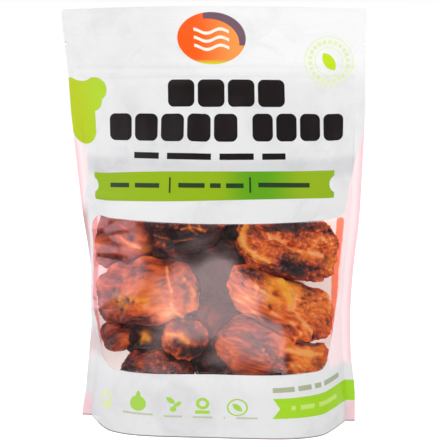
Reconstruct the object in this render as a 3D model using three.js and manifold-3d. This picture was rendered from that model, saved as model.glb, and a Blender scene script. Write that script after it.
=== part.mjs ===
// A stand-up pouch of oven-dried fish, in millimetres, +Z up, its printed front facing -Y.
// The pouch is welded from a front panel, a back panel and a folded bottom gusset. Its sides and
// top are flat welds, and it bulges round the fish. A clear window in the front panel shows a heap
// of curled, dried fish pieces. The origin is on the floor, under the middle of the top weld.
import * as THREE from "three";
import { mergeVertices } from "three/addons/utils/BufferGeometryUtils.js";
import Module from "manifold-3d";

const wasm = await Module();
wasm.setup();

// Driving dimensions of the pouch
const HEIGHT = 323;
const SEAL = 7; // width of each side weld
const WELD = 0.5; // half the thickness of a weld
const WALL = 1.5;
const CORNER_LIFT = 4; // the side welds hang this far above the floor
const NOTCH_HEIGHT = 298;
const NOTCH_DEPTH = 2.6;
const NOTCH_WIDTH = 3;

// Each of these is a smooth curve over the height, as [height, value] pairs: half the width over
// the welds, half the depth, how square the bulge is across, how far the pouch leans to its right,
// and the angle at which the left weld curls back behind the bulge.
const HALF_WIDTHS = [
  [0, 107.8], [30, 105.6], [60, 102.8], [95, 101.6], [130, 103.1],
  [165, 106.8], [205, 109.1], [245, 111.3], [280, 111.8], [HEIGHT, 113.5],
];
const HALF_DEPTHS = [
  [0, 36], [35, 43], [90, 45], [140, 42], [185, 33], [220, 20],
  [248, 8], [264, 2.6], [272, 1.8], [285, 2.2], [303, 0.4], [HEIGHT, 0.1],
];
const SQUARENESS = [[0, 5.5], [50, 3.4], [100, 2.7], [165, 2.1], [HEIGHT, 2]];
const LEAN = [[0, 3.2], [30, 4.8], [60, 4.2], [140, 5.1], [205, 4], [265, 2.3], [HEIGHT, 0]];
const CURL = [[0, 0], [45, 10], [90, 84], [140, 55], [185, 18], [235, 0], [HEIGHT, 0]];

// The gusset's arch under the pouch, inside a flat rim
const RIM = 3;
const ARCH_MIDDLE = 4;
const ARCH_SIDE = 13;
const ARCH_REACH = 84;

// The window's corners seen from the front, how far its lower edge arches up, and how round the
// corners are
const WINDOW_FOOT = [48.5, 50.5]; // the height of its left and right corner
const WINDOW_ARCH = 2.9;
const WINDOW_WAIST = 98;
const WINDOW_HIGH = 164.5;
const WINDOW_LEFT = [-84.5, -93.4, -93.2]; // at its foot, waist and top
const WINDOW_RIGHT = [87.5, 95.3, 100];
const WINDOW_ROUND_LOW = 7;
const WINDOW_ROUND_HIGH = [10, 4]; // its left and right corner
const FILM = 0.8;
const GAP = 0.35;

// The part of the inside that the window shows, and the shares of its width that it and the fish
// reach
const INSIDE_LOW = 36;
const INSIDE_HIGH = 190;
const INSIDE_WIDTH = 0.985;
const FISH_WIDTH = 0.97;

// The fish pieces: the middle of each, its length, depth and height, and how far its length turns
// down to the right of the front view. taper thins its right end, and curl lifts both its ends.
const FISH = [
  { name: "fish_mid_left", at: [-59, -17, 106], size: [98, 44, 48], turn: -9, taper: -0.22, curl: -0.1, detail: 5 },
  { name: "fish_top_right", at: [60, -12, 145], size: [80, 44, 54], turn: 18, taper: 0.12, curl: -0.12, detail: 5 },
  { name: "fish_mid_right", at: [57, -22, 101], size: [96, 44, 42], turn: 26, taper: -0.14, curl: 0.12, detail: 5 },
  { name: "fish_low_right", at: [50, -22, 63], size: [92, 44, 46], turn: 14, taper: 0.1, curl: 0.14, detail: 5 },
  { name: "fish_top_left", at: [-73, -7, 151], size: [60, 36, 54], turn: 15, taper: 0.08, curl: 0.1, detail: 4 },
  { name: "fish_low_middle", at: [-18, -26, 77], size: [36, 32, 30], turn: 16, taper: 0.2, curl: 0.1, detail: 4 },
  { name: "fish_low_left", at: [-73, -8, 73], size: [30, 28, 24], turn: -24, taper: 0.1, curl: 0, detail: 3 },
  { name: "fish_foot_left", at: [-42, -18, 45], size: [60, 40, 34], turn: 2, taper: 0.05, curl: -0.1, detail: 4 },
  { name: "fish_low_behind", at: [-48, -6, 76], size: [48, 36, 38], turn: 10, taper: 0.1, curl: 0.1, detail: 3 },
  { name: "fish_top_middle", at: [-20, -8, 159], size: [62, 40, 40], turn: -10, taper: -0.1, curl: 0.1, detail: 4 },
  { name: "fish_core_upper", at: [10, 4, 127], size: [126, 44, 52], turn: 0, taper: 0.1, curl: 0.1, detail: 4 },
  { name: "fish_core_lower", at: [4, -4, 68], size: [62, 46, 60], turn: -60, taper: 0.1, curl: -0.1, detail: 3 },
  { name: "fish_back_top", at: [16, 8, 158], size: [64, 34, 44], turn: -20, taper: 0.1, curl: 0.1, detail: 3 },
];

const LOOKS = {
  pouch: { color: 0xe9e9e8, roughness: 0.42, metalness: 0 },
  window: { color: 0xf2f0ee, roughness: 0.12, metalness: 0, transparent: true, opacity: 0.25 },
  fish: { color: 0xb2541f, roughness: 0.45, metalness: 0 },
};

// A smooth curve through [height, value] pairs, flat at both ends.
function along(stations, height) {
  const last = stations.length - 1;
  if (height <= stations[0][0]) return stations[0][1];
  if (height >= stations[last][0]) return stations[last][1];
  const slope = (k) => {
    if (k === 0 || k === last) return 0;
    return (stations[k + 1][1] - stations[k - 1][1]) / (stations[k + 1][0] - stations[k - 1][0]);
  };
  const k = stations.findIndex((s) => s[0] > height) - 1;
  const span = stations[k + 1][0] - stations[k][0];
  const t = (height - stations[k][0]) / span;
  const start = stations[k][1] * (2 * t ** 3 - 3 * t ** 2 + 1) + slope(k) * span * (t ** 3 - 2 * t ** 2 + t);
  return start + stations[k + 1][1] * (3 * t ** 2 - 2 * t ** 3) + slope(k + 1) * span * (t ** 3 - t ** 2);
}

// How far the panel stands out at a share across (-1 to 1) between the side welds.
function bulge(across, height) {
  const share = Math.min(1, Math.abs(across));
  return along(HALF_DEPTHS, height) * (1 - share ** along(SQUARENESS, height));
}

const lean = (height) => along(LEAN, height);
const weldAngle = (end, height) => (end < 0 ? THREE.MathUtils.degToRad(along(CURL, height)) : 0);

// How far the bulging part of the panels reaches from the middle, to the left (-1) or right (1).
function innerHalfWidth(end, height) {
  const angle = weldAngle(end, height);
  return along(HALF_WIDTHS, height) - SEAL * Math.cos(angle) - WELD * Math.sin(angle);
}

// The x of a share across (-1 to 1) between the side welds.
const acrossAt = (across, height) => lean(height) + innerHalfWidth(Math.sign(across), height) * across;

const smoothstep = (t) => Math.min(1, Math.max(0, t)) ** 2 * (3 - 2 * Math.min(1, Math.max(0, t)));
const evenly = (count) => Array.from({ length: count + 1 }, (_, i) => i / count);

// A BufferGeometry as a manifold-3d solid.
function solid(geometry) {
  const bare = geometry.clone();
  bare.deleteAttribute("normal");
  bare.deleteAttribute("uv");
  const merged = mergeVertices(bare, 1e-3);
  const made = new wasm.Manifold(
    new wasm.Mesh({
      numProp: 3,
      vertProperties: new Float32Array(merged.attributes.position.array),
      triVerts: new Uint32Array(merged.index.array),
    }),
  );
  if (made.volume() < 0) throw new Error("a solid is inside out");
  return made;
}

// A closed body through rings of equally many points. Its ends are ruled between the two halves
// of their ring, or fanned out from its first point.
function loft(rings, ends) {
  const size = rings[0].length;
  const index = [];
  for (let j = 0; j + 1 < rings.length; j++) {
    for (let i = 0; i < size; i++) {
      const a = j * size + i;
      const b = j * size + ((i + 1) % size);
      index.push(a, b, b + size, a, b + size, a + size);
    }
  }
  const close = (a, b, c) => {
    const last = (rings.length - 1) * size;
    index.push(a, c, b, last + a, last + b, last + c);
  };
  for (let i = 0; ends === "ruled" && i + 1 < size / 2; i++) {
    close(i, i + 1, size - 2 - i);
    close(i, size - 2 - i, size - 1 - i);
  }
  for (let i = 1; ends === "fanned" && i + 1 < size; i++) close(0, i, i + 1);
  const geometry = new THREE.BufferGeometry();
  geometry.setAttribute("position", new THREE.BufferAttribute(new Float32Array(rings.flat(2)), 3));
  geometry.setIndex(index);
  return solid(geometry);
}

// Shares across a panel, closer together near the welds where it turns.
const ACROSS = evenly(20).map((t) => Math.sin((t - 0.5) * Math.PI * 0.94) / Math.sin(Math.PI * 0.47));
const LEVELS = [0, 0.02, 0.06, 0.11, 0.18, 0.27, 0.36, 0.45, 0.53, 0.6, 0.67, 0.73, 0.78, 0.82, 0.845, 0.87, 0.9, 0.94, 1];

// A closed ring round the pouch at a height, from the shares across the front and the back.
const ringOf = (point) => [...ACROSS.map((a) => point(a, -1)), ...ACROSS.toReversed().map((a) => point(a, 1))];

// The whole pouch, out to its surface, with a flat underside between the lifted corners.
function pouchForm() {
  const rings = LEVELS.map((level) => {
    const point = (across, side) => {
      const lift = CORNER_LIFT * smoothstep((Math.abs(across) - 0.8) / 0.2);
      const height = lift + level * (HEIGHT - lift);
      return [acrossAt(across, height), side * (WELD + bulge(across, height)), height];
    };
    const weld = (end, side) => {
      const height = CORNER_LIFT + level * (HEIGHT - CORNER_LIFT);
      const angle = weldAngle(end, height);
      const x = end * (innerHalfWidth(end, height) + SEAL * Math.cos(angle) - side * WELD * Math.sin(angle));
      return [lean(height) + x, SEAL * Math.sin(angle) + side * WELD * Math.cos(angle), height];
    };
    const front = [weld(-1, -1), ...ACROSS.map((a) => point(a, -1)), weld(1, -1)];
    const back = [weld(1, 1), ...ACROSS.toReversed().map((a) => point(a, 1)), weld(-1, 1)];
    return [...front, ...back];
  });
  return loft(rings, "ruled");
}

// What the gusset leaves open under the pouch: an arch that rises towards the sides.
function gussetArch() {
  const PROFILE = [[1, 0], [0.9, 0.62], [0.6, 0.92], [0, 1], [-0.6, 0.92], [-0.9, 0.62], [-1, 0]];
  const BELOW = -2;
  const rings = evenly(16).map((t) => {
    const offset = (2 * t - 1) * ARCH_REACH;
    const share = Math.abs(offset) / ARCH_REACH;
    const reach = bulge(offset / innerHalfWidth(1, 0), 0) - RIM;
    const rise = ARCH_MIDDLE + (ARCH_SIDE - ARCH_MIDDLE) * smoothstep(share * 1.25) * (1 - share ** 8);
    const x = lean(0) + offset;
    const top = PROFILE.map(([w, h]) => [x, w * reach, h * rise]);
    return [...top, [x, -reach, BELOW], [x, reach, BELOW]];
  });
  return loft(rings, "fanned");
}

// The inside of the pouch, a given distance in from its surface, out to a share of its width.
function inside(inset, width, low, high) {
  const LEAST = 0.5;
  const rings = evenly(8).map((t) => {
    const height = low + t * (high - low);
    return ringOf((across, side) => {
      const reach = Math.max(LEAST, WELD + bulge(across * width, height) - inset);
      return [acrossAt(across * width, height), side * reach, height];
    });
  });
  return loft(rings, "ruled");
}

// A layer of the front panel, from its surface to a given depth, over the window's height.
function frontLayer(depth) {
  const SPARE = 6;
  const low = Math.min(...WINDOW_FOOT) - SPARE;
  const rings = evenly(7).map((t) => {
    const height = low + t * (WINDOW_HIGH + SPARE - low);
    return ringOf((across, side) => {
      return [acrossAt(across, height), -WELD - bulge(across, height) + (side > 0 ? depth : 0), height];
    });
  });
  return loft(rings, "ruled");
}

// A prism through the front panel with the window's outline, drawn in by a margin.
function windowPrism(margin, back, front) {
  const [lowLeft, lowRight] = WINDOW_FOOT.map((z) => z + margin);
  const [roundLeft, roundRight] = WINDOW_ROUND_HIGH;
  const high = WINDOW_HIGH - margin;
  const [footLeft, waistLeft, topLeft] = WINDOW_LEFT.map((x) => x + margin);
  const [footRight, waistRight, topRight] = WINDOW_RIGHT.map((x) => x - margin);
  const shape = new THREE.Shape();
  const pull = [(footLeft + footRight) / 2, (lowLeft + lowRight) / 2 + 2 * WINDOW_ARCH];
  shape.moveTo(footLeft + WINDOW_ROUND_LOW, lowLeft);
  shape.quadraticCurveTo(...pull, footRight - WINDOW_ROUND_LOW, lowRight);
  shape.quadraticCurveTo(footRight, lowRight, footRight + 1, lowRight + WINDOW_ROUND_LOW);
  shape.lineTo(waistRight, WINDOW_WAIST);
  shape.lineTo(topRight, high - roundRight);
  shape.quadraticCurveTo(topRight, high, topRight - roundRight, high);
  shape.lineTo(topLeft + roundLeft, high);
  shape.quadraticCurveTo(topLeft, high, topLeft, high - roundLeft);
  shape.lineTo(waistLeft, WINDOW_WAIST);
  shape.lineTo(footLeft - 1, lowLeft + WINDOW_ROUND_LOW);
  shape.quadraticCurveTo(footLeft, lowLeft, footLeft + WINDOW_ROUND_LOW, lowLeft);
  const prism = new THREE.ExtrudeGeometry(shape, { depth: front - back, bevelEnabled: false, curveSegments: 5 });
  prism.rotateX(Math.PI / 2); // the outline stands up in XZ, and the depth runs towards -Y
  prism.translate(0, -back, 0);
  return solid(prism);
}

// A V-shaped nick in the edge of a side weld.
function tearNotch(end) {
  const edge = along(HALF_WIDTHS, NOTCH_HEIGHT);
  const middle = lean(NOTCH_HEIGHT);
  const shape = new THREE.Shape();
  shape.moveTo(middle + end * (edge - NOTCH_DEPTH), NOTCH_HEIGHT);
  shape.lineTo(middle + end * (edge + 1), NOTCH_HEIGHT + (end * NOTCH_WIDTH) / 2);
  shape.lineTo(middle + end * (edge + 1), NOTCH_HEIGHT - (end * NOTCH_WIDTH) / 2);
  const nick = new THREE.ExtrudeGeometry(shape, { depth: 10, bevelEnabled: false });
  nick.rotateX(Math.PI / 2);
  nick.translate(0, 5, 0);
  return solid(nick);
}

// A few slow waves over a piece, different for each seed.
function waves(direction, seed) {
  let sum = 0;
  for (let k = 1; k <= 4; k++) {
    const phase = seed * 2.399 * k;
    const run = (2 + k) * (direction.x * Math.cos(phase) + direction.y * Math.sin(phase * 1.7));
    const rise = (1.5 + k) * (direction.z * Math.cos(phase * 0.6) - direction.y * Math.sin(phase));
    sum += (Math.sin(run + phase) * Math.cos(rise + 2 * phase)) / (k + 1);
  }
  return sum;
}

// One curled fish piece: a squarish oval with a fold along its length, wrinkles across it, a
// thinner end, and a curl, drawn at its own place. grow makes it larger all round.
function fishPiece(piece, seed, grow) {
  const SQUARE = 2.5;
  const FOLD = 0.2;
  const half = piece.size.map((s) => s / 2);
  const bare = new THREE.IcosahedronGeometry(1, piece.detail);
  bare.deleteAttribute("normal");
  bare.deleteAttribute("uv");
  const geometry = mergeVertices(bare, 1e-4);
  const position = geometry.attributes.position;
  const d = new THREE.Vector3();
  const p = new THREE.Vector3();
  for (let i = 0; i < position.count; i++) {
    d.fromBufferAttribute(position, i).normalize();
    const square = (Math.abs(d.x) ** SQUARE + Math.abs(d.y) ** SQUARE + Math.abs(d.z) ** SQUARE) ** (-1 / SQUARE);
    const round = Math.atan2(d.z + 0.25 * Math.sin(3 * d.x + seed), -d.y);
    const fold = FOLD * Math.exp(-((round / 0.34) ** 2)) * (1 - d.x ** 4);
    const radius = square * (1 - fold + 0.09 * waves(d, seed));
    const thin = 1 - piece.taper * d.x;
    p.set(half[0] * radius * d.x, half[1] * radius * d.y * thin, half[2] * radius * d.z * thin);
    p.z += piece.curl * half[0] * (d.x ** 2 - 0.4);
    p.addScaledVector(d, grow);
    position.setXYZ(i, p.x, p.y, p.z);
  }
  geometry.rotateY(THREE.MathUtils.degToRad(piece.turn));
  geometry.translate(...piece.at);
  return solid(geometry);
}

// The largest body of a solid: cutting can leave loose scraps beside it.
const largest = (made) => made.decompose().sort((a, b) => b.volume() - a.volume())[0];

function mesh(name, made, look) {
  const data = made.getMesh();
  const geometry = new THREE.BufferGeometry();
  geometry.setAttribute("position", new THREE.BufferAttribute(new Float32Array(data.vertProperties), 3));
  geometry.setIndex(new THREE.BufferAttribute(new Uint32Array(data.triVerts), 1));
  geometry.computeVertexNormals();
  const drawn = new THREE.Mesh(geometry, new THREE.MeshStandardMaterial(look));
  drawn.name = name;
  return drawn;
}

const group = new THREE.Group();

// The pouch, open inside round the fish and through the front panel at the window
const pouch = pouchForm()
  .subtract(gussetArch())
  .subtract(inside(WALL, INSIDE_WIDTH, INSIDE_LOW, INSIDE_HIGH))
  .subtract(windowPrism(0, 1, 80))
  .subtract(tearNotch(-1))
  .subtract(tearNotch(1));
group.add(mesh("pouch", pouch, LOOKS.pouch));

// The clear film of the window, flush with the panel
const film = frontLayer(FILM).intersect(windowPrism(GAP, 1, 80));
group.add(mesh("window", film, LOOKS.window));

// The fish, each one cut where it presses on the film or on a piece made before it
const room = inside(WALL + GAP, FISH_WIDTH, INSIDE_LOW + GAP, INSIDE_HIGH - GAP);
const taken = [];
FISH.forEach((piece, i) => {
  let made = fishPiece(piece, i + 1, 0).intersect(room);
  for (const other of taken) made = made.subtract(other);
  group.add(mesh(piece.name, largest(made), LOOKS.fish));
  taken.push(fishPiece(piece, i + 1, GAP * 2));
});

export default group;
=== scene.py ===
"""A stand-up pouch of oven-dried fish.

The pouch is one sheet of printed film, drawn flat, with its window cut in it, and then wrapped
round the filled shape. The clear window film comes out of the same sheet. The fish pieces behind
it start from their solids in the frame, and get their folds, flakes and colours here.
Lengths are millimetres until a mesh is finished, and its points are then turned into metres.
"""
import math

import bmesh
import bpy
from mathutils import Matrix, Vector, noise


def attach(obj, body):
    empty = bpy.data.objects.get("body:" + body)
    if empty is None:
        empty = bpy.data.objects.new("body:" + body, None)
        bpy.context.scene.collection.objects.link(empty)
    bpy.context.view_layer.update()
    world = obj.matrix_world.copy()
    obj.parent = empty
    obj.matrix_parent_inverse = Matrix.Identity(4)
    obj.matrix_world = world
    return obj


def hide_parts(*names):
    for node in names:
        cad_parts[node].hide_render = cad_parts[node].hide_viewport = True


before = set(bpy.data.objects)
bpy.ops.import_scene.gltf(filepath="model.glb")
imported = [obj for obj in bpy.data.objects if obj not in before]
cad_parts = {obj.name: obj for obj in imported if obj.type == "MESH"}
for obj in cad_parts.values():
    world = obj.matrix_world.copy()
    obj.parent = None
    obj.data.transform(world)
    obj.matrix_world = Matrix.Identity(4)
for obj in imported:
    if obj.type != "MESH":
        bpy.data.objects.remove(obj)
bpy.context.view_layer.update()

MM = 0.001
SEED = 3
noise.seed_set(SEED)  # or noise_vector would go by the time of day

# The pouch's shape, as in its solids: each curve is a list of (height, value) pairs
HEIGHT = 323.0
SEAL = 7.0
WELD = 0.3  # half the thickness of the two layers of film
CORNER_LIFT = 4.0
CORNER_DROOP = 2.6  # the top corners hang this much lower than the middle of the top edge
HALF_WIDTHS = [
    (0, 107.8), (30, 105.6), (60, 102.8), (95, 101.6), (130, 103.1),
    (165, 106.8), (205, 109.1), (245, 111.3), (280, 111.8), (HEIGHT, 113.5),
]
HALF_DEPTHS = [
    (0, 36), (35, 43), (90, 45), (140, 42), (185, 33), (220, 20),
    (248, 8), (264, 2.6), (272, 1.8), (285, 2.2), (303, 0.4), (HEIGHT, 0.1),
]
SQUARENESS = [(0, 5.5), (50, 3.4), (100, 2.7), (165, 2.1), (HEIGHT, 2)]
LEAN = [(0, 3.2), (30, 4.8), (60, 4.2), (140, 5.1), (205, 4), (265, 2.3), (HEIGHT, 0)]
CURL = [(0, 0), (45, 10), (90, 84), (140, 55), (185, 18), (235, 0), (HEIGHT, 0)]

# The window's outline, as in its solid
WINDOW_FOOT, WINDOW_ARCH = (48.5, 50.5), 2.9
WINDOW_WAIST, WINDOW_HIGH = 98.0, 164.5
WINDOW_LEFT = (-84.5, -93.4, -93.2)
WINDOW_RIGHT = (87.5, 95.3, 100.0)
WINDOW_ROUND_LOW, WINDOW_ROUND_HIGH = 7.0, (10.0, 4.0)

# The flat film
FLAT_HALF = 115.7
PANEL_HALF = FLAT_HALF - SEAL
SEAMS = (-FLAT_HALF, FLAT_HALF, 3 * FLAT_HALF)  # across the front and then on across the back
TOP_WELD = 303.0
ZIPPER_TRACKS = (271.7, 279.3)
NOTCH_UP, NOTCH_DEEP, NOTCH_TALL = 297.0, 2.6, 3.0
FILM = 0.16  # the film's thickness
COLUMN = 2.0  # the width of one face of the flat film
MARGIN = 0.01  # how near a face comes to a cut to be cut with it
MERGE = 0.02  # how near the points of the two welded layers come to be one
DENT_SHARE = 0.6  # the most of its distance from the middle that a dent can take away
UV_UNIT = 100.0  # the millimetres of flat film in one unit of its UV map


# Shape of the filled pouch

def along(stations, height):
    """A smooth curve through (height, value) pairs, flat at both ends."""
    last = len(stations) - 1
    if height <= stations[0][0]:
        return stations[0][1]
    if height >= stations[last][0]:
        return stations[last][1]

    def slope(k):
        if k in (0, last):
            return 0.0
        return (stations[k + 1][1] - stations[k - 1][1]) / (stations[k + 1][0] - stations[k - 1][0])

    k = next(i for i, station in enumerate(stations) if station[0] > height) - 1
    span = stations[k + 1][0] - stations[k][0]
    t = (height - stations[k][0]) / span
    start = stations[k][1] * (2 * t**3 - 3 * t**2 + 1) + slope(k) * span * (t**3 - 2 * t**2 + t)
    return start + stations[k + 1][1] * (3 * t**2 - 2 * t**3) + slope(k + 1) * span * (t**3 - t**2)


def smoothstep(low, high, value):
    """0 up to low and 1 from high on, and smooth in between."""
    t = min(1.0, max(0.0, (value - low) / (high - low)))
    return t * t * (3 - 2 * t)


def bell(distance, width):
    """1 at no distance, falling away smoothly over the width."""
    return math.exp(-((distance / width) ** 2))


def inner_half_width(end, height):
    """How far the bulging part reaches from the middle, to the left (-1) or right (1)."""
    angle = math.radians(along(CURL, height)) if end < 0 else 0.0
    return along(HALF_WIDTHS, height) - SEAL * math.cos(angle) - 0.5 * math.sin(angle)


def bulge(share, height):
    """How far the film stands out from the middle, at a share of the way across."""
    return along(HALF_DEPTHS, height) * (1 - min(1.0, abs(share)) ** along(SQUARENESS, height))


arcs = {}
ARC_STEPS = 40


def arc_table(end, height):
    """Shares across and the lengths of film up to them, at a height to the nearest millimetre."""
    key = (end, round(height))
    if key not in arcs:
        shares = [math.sin(math.pi / 2 * i / ARC_STEPS) for i in range(ARC_STEPS + 1)]
        width = inner_half_width(end, key[1])
        points = [(width * u, bulge(u, key[1])) for u in shares]
        lengths = [0.0]
        for a, b in zip(points, points[1:]):
            lengths.append(lengths[-1] + math.dist(a, b))
        arcs[key] = shares, [length / lengths[-1] for length in lengths]
    return arcs[key]


def interpolate(value, inputs, outputs):
    """The output for a value, on straight lines between the known inputs."""
    k = next((i for i, known in enumerate(inputs) if known >= value), len(inputs) - 1)
    if k == 0:
        return outputs[0]
    t = (value - inputs[k - 1]) / (inputs[k] - inputs[k - 1])
    return outputs[k - 1] + min(1.0, t) * (outputs[k] - outputs[k - 1])


def flat_of(x, height):
    """The place on the flat front, from the middle, of a point seen at x from the front."""
    offset = x - along(LEAN, height)
    end = math.copysign(1, offset)
    shares, lengths = arc_table(end, height)
    return end * PANEL_HALF * interpolate(abs(offset) / inner_half_width(end, height), shares, lengths)


def corner_lift(share):
    return CORNER_LIFT * smoothstep(0.8, 1.0, abs(share))


def wave(a, up):
    """How far the flat upper part of the film waves backwards."""
    return smoothstep(235, HEIGHT, up) * (2.2 * math.sin(a / 36 + 0.7) + 0.8 * math.sin(a / 13))


def wrapped(along_film, up):
    """Where a point of the flat film goes. Past FLAT_HALF the film is the back panel."""
    side = -1.0
    a = along_film
    if a > FLAT_HALF:
        side, a = 1.0, 2 * FLAT_HALF - a
    end = math.copysign(1, a)
    if abs(a) <= PANEL_HALF:
        level = up / HEIGHT
        shares, lengths = arc_table(end, up)
        share = interpolate(abs(a) / PANEL_HALF, lengths, shares)
        lift = corner_lift(share)
        height = lift + level * (HEIGHT - lift)
        x = along(LEAN, height) + end * inner_half_width(end, height) * share
        y = side * (WELD + bulge(share, height))
    else:
        height = CORNER_LIFT + up / HEIGHT * (HEIGHT - CORNER_LIFT)
        out = abs(a) - PANEL_HALF
        angle = math.radians(along(CURL, height)) if end < 0 else 0.0
        apart = side * WELD * (1 - (out / SEAL) ** 6)
        turned = angle * smoothstep(0, 1.5, out)
        reach = inner_half_width(end, height) + out * math.cos(angle) - apart * math.sin(turned)
        x = along(LEAN, height) + end * reach
        y = out * math.sin(angle) + apart * math.cos(turned)
    # The top edge is welded shut, hangs a little at its corners, and waves a little
    shut = smoothstep(HEIGHT - 2, HEIGHT, up)
    y = y * (1 - shut)
    droop = CORNER_DROOP * (a / FLAT_HALF) ** 2 * smoothstep(200, HEIGHT, up)
    return Vector((x, y + wave(a, up), height - droop))


# Low relief of the film, in millimetres outwards

FISH_BUMPS = [  # (place on the flat front, height, width, how far the film stands out)
    (-52, 104, 34, 1.6), (60, 148, 30, 1.2), (56, 104, 34, 1.5), (50, 66, 30, 1.3), (-72, 150, 22, 1.2),
    (-21, 76, 18, 0.9), (-48, 52, 26, 0.8),
]


def film_relief(a, up, side):
    """Bumps, creases and welds of the film at a place on the flat panel."""
    weld = smoothstep(PANEL_HALF - 1.2, PANEL_HALF + 0.4, abs(a))
    top_weld = smoothstep(TOP_WELD - 1.2, TOP_WELD + 0.6, up)
    free = (1 - weld) * (1 - top_weld)
    place = Vector((a, up, 60.0 * side))
    out = 0.9 * noise.noise(place / 47) + 0.45 * noise.noise(place / 21)
    # Creases run in from the welds where the flat sides meet the bulge
    near_side = smoothstep(52, 104, abs(a)) * smoothstep(20, 60, up) * (1 - smoothstep(205, 262, up))
    run = Vector((a / 46, up / 10.5 + 0.02 * abs(a), 3.1 * side))
    out += 1.5 * near_side * (0.32 - abs(noise.noise(run)))
    # Long soft folds fall from the zipper onto the bulge
    below_zip = smoothstep(196, 236, up) * (1 - smoothstep(252, 266, up))
    out += 1.1 * below_zip * noise.noise(Vector((a / 13, up / 60, 7.7 * side)))
    # The foot puckers above the rim, most of all near its corners
    at_foot = (1 - smoothstep(6, 44, up)) * smoothstep(30, 96, abs(a))
    out += 1.2 * at_foot * (0.3 - abs(noise.noise(Vector((a / 9, up / 34, 1.3 + side)))))
    for track in ZIPPER_TRACKS:
        out += 0.55 * bell(up - track, 0.9) * (1 - weld)
    if side < 0:
        for centre, height, width, height_out in FISH_BUMPS:
            out += height_out * bell(math.hypot(a - centre, up - height), width)
        # A dent with a sharp fold where the left weld kinks
        out -= 1.6 * bell(a + 101, 10) * bell(up - 166 - 0.3 * (a + 101), 7)
        out += 1.3 * bell(a + 96, 8) * bell(up - 178, 6)
    return out * free * smoothstep(0, 8, up)


# Shader expressions

class Value:
    """A number or colour that varies over a surface. Its operators add Math nodes."""

    def __init__(self, paint, socket):
        self.paint = paint
        self.socket = socket

    def math(self, operation, *others, clamp=False):
        settings = {"operation": operation, "use_clamp": clamp}
        return self.paint.node("ShaderNodeMath", settings, [self, *others])

    def turned(self, operation, other):
        return self.paint.node("ShaderNodeMath", {"operation": operation}, [other, self])

    def __abs__(self):
        return self.math("ABSOLUTE")

    def clamped(self):
        return self.math("ADD", 0.0, clamp=True)

    def between(self, low, high):
        """0 below low and 1 above high, and smooth in between."""
        settings = {"interpolation_type": "SMOOTHSTEP"}
        inputs = {"Value": self, "From Min": low, "From Max": high}
        return self.paint.node("ShaderNodeMapRange", settings, inputs)


# Python's operators on a Value, with the Math node's operation for each
OPERATIONS = {
    "add": "ADD", "sub": "SUBTRACT", "mul": "MULTIPLY", "truediv": "DIVIDE", "pow": "POWER",
    "and": "MINIMUM", "or": "MAXIMUM", "lt": "LESS_THAN", "gt": "GREATER_THAN",
}


def add_operator(name, operation):
    """Gives Value an operator and its reflected form."""
    setattr(Value, f"__{name}__", lambda value, other: value.math(operation, other))
    setattr(Value, f"__r{name}__", lambda value, other: value.turned(operation, other))


for operator, math_operation in OPERATIONS.items():
    add_operator(operator, math_operation)


class Paint:
    """A material under construction, with one Principled shader."""

    def __init__(self, name, **base):
        self.material = bpy.data.materials.new(name)
        self.material.use_nodes = True
        self.tree = self.material.node_tree
        self.shader = self.tree.nodes["Principled BSDF"]
        for socket, value in base.items():
            self.shader.inputs[socket.replace("_", " ")].default_value = value

    def node(self, kind, settings, inputs, output=0):
        """A new node's output, or a list of its outputs where a tuple names them."""
        made = self.tree.nodes.new(kind)
        for key, value in settings.items():
            if key == "stops":
                set_stops(made.color_ramp.elements, value)
            else:
                setattr(made, key, value)
        for key, value in inputs.items() if isinstance(inputs, dict) else enumerate(inputs):
            self.plug(made.inputs[key], value)
        if isinstance(output, tuple):
            return [Value(self, made.outputs[number]) for number in output]
        return Value(self, made.outputs[output])

    def plug(self, socket, value):
        if isinstance(value, Value):
            self.tree.links.new(value.socket, socket)
        else:
            socket.default_value = value

    def feed(self, socket, value):
        self.plug(self.shader.inputs[socket], value)

    def mix(self, share, first, second):
        """The colour first, turning into second as share goes to 1."""
        factor, a, b, colour_out = 0, 6, 7, 2
        inputs = {factor: share, a: opaque(first), b: opaque(second)}
        return self.node("ShaderNodeMix", {"data_type": "RGBA"}, inputs, colour_out)

    def noise(self, scale, detail=3.0, place=None, roughness=0.5):
        place = place or self.object_place()
        inputs = {"Vector": place, "Scale": scale, "Detail": detail, "Roughness": roughness}
        return self.node("ShaderNodeTexNoise", {}, inputs)

    def object_place(self):
        return self.node("ShaderNodeTexCoord", {}, {}, "Object")

    def attribute(self, name):
        return self.node("ShaderNodeAttribute", {"attribute_name": name}, {}, "Fac")

    def flat_place(self):
        """The place on the flat film: millimetres from the middle and up, and the UV map."""
        uv = self.node("ShaderNodeUVMap", {"uv_map": "print"}, {})
        across, up = self.node("ShaderNodeSeparateXYZ", {}, [uv], (0, 1))
        return across * UV_UNIT, up * UV_UNIT, uv

    def bump(self, height, strength, distance):
        inputs = {"Height": height, "Strength": strength, "Distance": distance}
        self.feed("Normal", self.node("ShaderNodeBump", {}, inputs))


def set_stops(elements, stops):
    """Gives a colour ramp its (position, colour) stops."""
    while len(elements) < len(stops):
        elements.new(0.5)
    for element, (position, colour) in zip(elements, stops):
        element.position = position
        element.color = opaque(colour)


def opaque(colour):
    """A colour of three numbers with its alpha. Anything else comes back as it was."""
    return (*colour, 1.0) if isinstance(colour, tuple) and len(colour) == 3 else colour


def srgb(red, green, blue):
    """A colour given in the usual 0 to 255 as the linear colour that shaders take."""
    def linear(c):
        c /= 255
        return c / 12.92 if c <= 0.04045 else ((c + 0.055) / 1.055) ** 2.4
    return linear(red), linear(green), linear(blue)


# Flat shapes of the print, each 1 inside and 0 outside. u runs across the flat film from its
# middle and v up from its foot, both in millimetres, and so do the places of the shapes.

def disc(u, v, x, y, radius, tall=1.0):
    across, up = u - x, (v - y) / tall
    return across * across + up * up < radius * radius


def block(u, v, x, y, half_width, half_height):
    return (abs(u - x) < half_width) & (abs(v - y) < half_height)


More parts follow.
